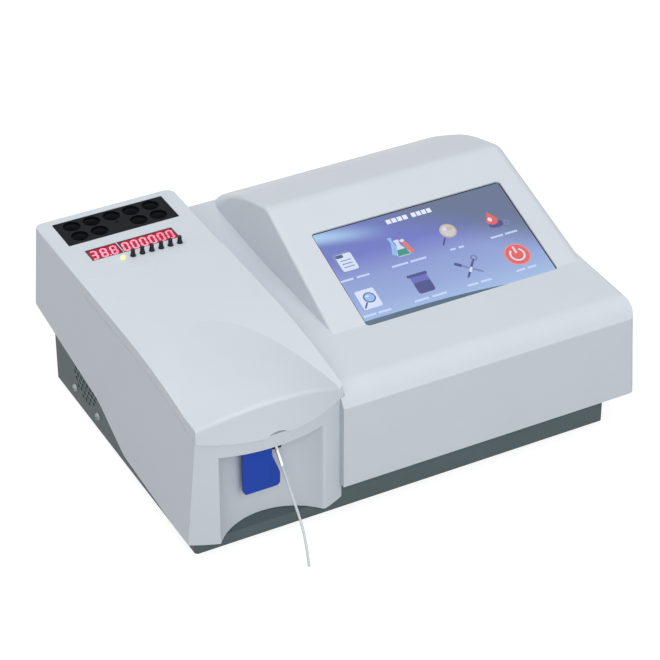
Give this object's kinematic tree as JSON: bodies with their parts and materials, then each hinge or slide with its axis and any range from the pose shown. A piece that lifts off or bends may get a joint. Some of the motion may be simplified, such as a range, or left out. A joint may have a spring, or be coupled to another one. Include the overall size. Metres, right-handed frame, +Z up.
{
  "type": "benchtop chemistry analyzer",
  "caption": "Semi-automatic benchtop chemistry analyzer: sloping touch screen, incubator wells with counters, bulged pump lid, sample pocket with blue aspirate key and sipper tube.",
  "frame": {"origin": "on the table under the middle of the body, feet at z = 0", "axes": "+X to the right along the front, +Y to the rear, +Z up"},
  "size_m": [0.3504, 0.3207, 0.1405],
  "materials": {
    "tray": "fine textured dark grey paint",
    "cover": "smooth satin moulded plastic, cool white",
    "rubber": "matte",
    "steel": "plain",
    "sheet": "zinc plated sheet",
    "panel": "satin black",
    "block": "black anodised",
    "film": "amber film",
    "red_window": "clear red",
    "digits": "lit segments",
    "grey_part": "moulded",
    "black_part": "satin",
    "board": "green solder mask",
    "lamp": "lit yellow green",
    "blue_key": "satin moulded",
    "tubing": "translucent soft tube",
    "motor": "steel can",
    "roller": "white acetal",
    "cell": "clear",
    "screen_glass": "lit display under glass",
    "lcd": "display module"
  },
  "bodies": {
    "housing": {"base_tray": "tray", "rubber_feet": "rubber", "upper_cover": "cover", "hinge_brackets": "sheet", "hinge_pins": "steel", "incubator_plate": "panel", "incubator_block": "block", "heater_film": "film", "incubator_hanger": "sheet", "counter_windows": "red_window", "counter_digits": "digits", "counter_modules": "grey_part", "key_board": "board", "deck_screws": "steel", "key_switches": "grey_part", "status_lamp": "lamp", "key_pin": "steel", "key_cradle": "grey_part", "aspirate_switch": "grey_part", "switch_bracket": "sheet", "sipper_nozzle": "steel", "nozzle_holder": "black_part", "sipper_tube": "tubing", "bay_pan": "grey_part", "pump_motor": "motor", "pump_housing": "grey_part", "pump_tube": "tubing", "optics_block": "block", "flow_cell": "cell", "lamp_housing": "block", "filter_motor": "motor", "touch_panel": "screen_glass", "lcd_module": "lcd", "lcd_bracket": "sheet", "main_board": "board", "board_spacers": "steel", "power_supply": "sheet", "fan_frame": "black_part", "fan_screws": "steel", "power_inlet": "black_part", "switch_body": "black_part", "data_port": "steel", "usb_port": "steel", "waste_fitting": "black_part"},
    "lid": {"front_lid": "cover"},
    "aspirate_key": {"aspirate_key": "blue_key"},
    "pump_rotor": {"pump_rotor": "grey_part"},
    "filter_wheel": {"filter_wheel": "block"},
    "fan_rotor": {"fan_rotor": "black_part"},
    "power_rocker": {"power_rocker": "black_part"},
    "timer_key_1": {"timer_key_1": "black_part"},
    "timer_key_2": {"timer_key_2": "black_part"},
    "timer_key_3": {"timer_key_3": "black_part"},
    "timer_key_4": {"timer_key_4": "black_part"},
    "timer_key_5": {"timer_key_5": "black_part"},
    "timer_key_6": {"timer_key_6": "black_part"},
    "pump_roller_1": {"pump_roller_1": "roller"},
    "pump_roller_2": {"pump_roller_2": "roller"},
    "pump_roller_3": {"pump_roller_3": "roller"}
  },
  "joints": [
    {"name": "lid_hinge", "type": "hinge", "parent": "housing", "child": "lid", "pos_m": [-0.11526, 0.0634, 0.104], "axis": [-1, 0, 0], "range_deg": [0, 50]},
    {"name": "timer_key_1_press", "type": "slide", "parent": "housing", "child": "timer_key_1", "axis": [0, 0, -1], "range_m": [0, 0.0014], "stiffness_N_per_m": 250, "springref_m": -0.001},
    {"name": "timer_key_2_press", "type": "slide", "parent": "housing", "child": "timer_key_2", "axis": [0, 0, -1], "range_m": [0, 0.0014], "stiffness_N_per_m": 250, "springref_m": -0.001},
    {"name": "timer_key_3_press", "type": "slide", "parent": "housing", "child": "timer_key_3", "axis": [0, 0, -1], "range_m": [0, 0.0014], "stiffness_N_per_m": 250, "springref_m": -0.001},
    {"name": "timer_key_4_press", "type": "slide", "parent": "housing", "child": "timer_key_4", "axis": [0, 0, -1], "range_m": [0, 0.0014], "stiffness_N_per_m": 250, "springref_m": -0.001},
    {"name": "timer_key_5_press", "type": "slide", "parent": "housing", "child": "timer_key_5", "axis": [0, 0, -1], "range_m": [0, 0.0014], "stiffness_N_per_m": 250, "springref_m": -0.001},
    {"name": "timer_key_6_press", "type": "slide", "parent": "housing", "child": "timer_key_6", "axis": [0, 0, -1], "range_m": [0, 0.0014], "stiffness_N_per_m": 250, "springref_m": -0.001},
    {"name": "aspirate_key_swing", "type": "hinge", "parent": "housing", "child": "aspirate_key", "pos_m": [-0.12276, -0.1251, 0.092], "axis": [1, 0, 0], "range_deg": [0, 4.5], "stiffness_Nm_per_rad": 0.15, "springref_deg": -2.86},
    {"name": "pump_spin", "type": "hinge", "parent": "housing", "child": "pump_rotor", "pos_m": [-0.11576, -0.0646, 0.074], "axis": [0, 0, 1], "continuous": true},
    {"name": "pump_roller_1_spin", "type": "hinge", "parent": "pump_rotor", "child": "pump_roller_1", "pos_m": [-0.10104, -0.0561, 0.074], "axis": [0, 0, 1], "continuous": true},
    {"name": "pump_roller_2_spin", "type": "hinge", "parent": "pump_rotor", "child": "pump_roller_2", "pos_m": [-0.13048, -0.0561, 0.074], "axis": [0, 0, 1], "continuous": true},
    {"name": "pump_roller_3_spin", "type": "hinge", "parent": "pump_rotor", "child": "pump_roller_3", "pos_m": [-0.11576, -0.0816, 0.074], "axis": [0, 0, 1], "continuous": true},
    {"name": "filter_spin", "type": "hinge", "parent": "housing", "child": "filter_wheel", "pos_m": [-0.13776, 0.0014, 0.083], "axis": [0, 0, 1], "continuous": true},
    {"name": "fan_spin", "type": "hinge", "parent": "housing", "child": "fan_rotor", "pos_m": [-0.16476, 0.0534, 0.0353], "axis": [1, 0, 0], "continuous": true},
    {"name": "power_rock", "type": "hinge", "parent": "housing", "child": "power_rocker", "pos_m": [0.08924, 0.105, 0.0265], "axis": [1, 0, 0], "range_deg": [0, 8]}
  ],
  "couplings": [
    {"joint": "pump_roller_1_spin", "follows": "pump_spin", "ratio": -4.4},
    {"joint": "pump_roller_2_spin", "follows": "pump_spin", "ratio": -4.4},
    {"joint": "pump_roller_3_spin", "follows": "pump_spin", "ratio": -4.4}
  ]
}
